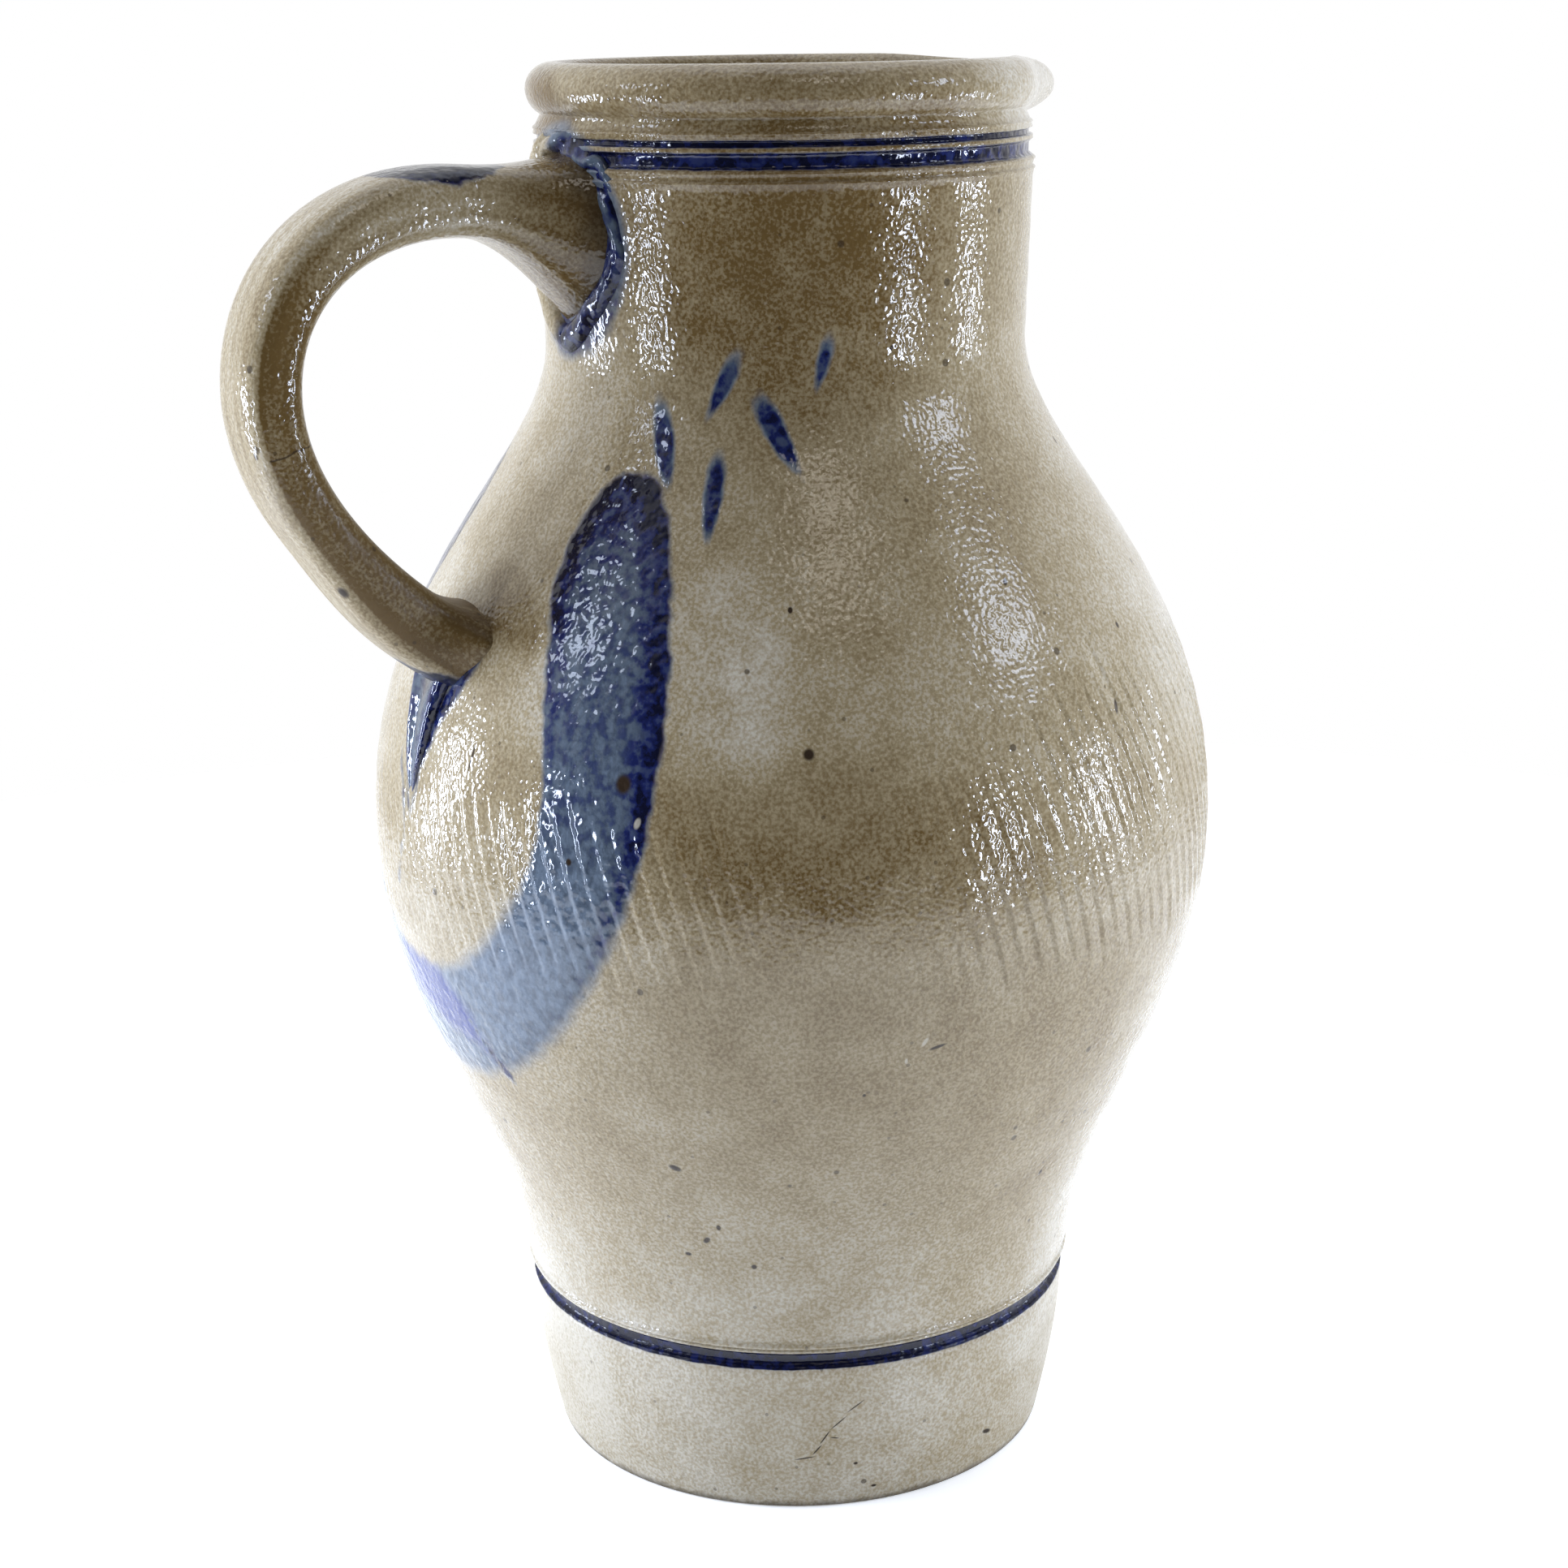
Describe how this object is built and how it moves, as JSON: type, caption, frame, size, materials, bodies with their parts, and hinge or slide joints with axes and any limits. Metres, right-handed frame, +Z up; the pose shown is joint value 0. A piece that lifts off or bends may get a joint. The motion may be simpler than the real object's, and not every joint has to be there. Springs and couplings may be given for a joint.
{
  "type": "stoneware jug",
  "caption": "Salt-glazed stoneware jug with a pear-shaped body on a tall foot, a straight neck, a rounded collar with a pulled spout, a strap handle and cobalt brushwork.",
  "frame": {"origin": "middle of the base, on the surface that the jug stands on", "axes": "+Z up along the thrown pot's axis, the handle along -X and the spout along +X"},
  "size_m": [0.1697, 0.1448, 0.24],
  "materials": {
    "salt_glazed_stoneware": "salt glaze, orange-peel gloss",
    "toned_stoneware": "salt glaze over brown-toned clay",
    "cobalt_washed_stoneware": "salt glaze over thin cobalt",
    "cobalt": "salt-glazed cobalt, glossy",
    "cobalt_wash": "salt-glazed cobalt wash, glossy"
  },
  "bodies": {
    "root": {"thrown_pot": "salt_glazed_stoneware", "strap_handle": "toned_stoneware", "upper_root_seam": "cobalt_washed_stoneware", "lower_root_tail": "toned_stoneware", "foot_cobalt_band": "cobalt", "broad_neck_cobalt_band": "cobalt", "fine_neck_cobalt_band": "cobalt", "loop_brushstroke": "cobalt_wash", "tail_brushstroke": "cobalt", "handle_brushstroke": "cobalt", "shoulder_dabs": "cobalt_wash"}
  },
  "joints": []
}
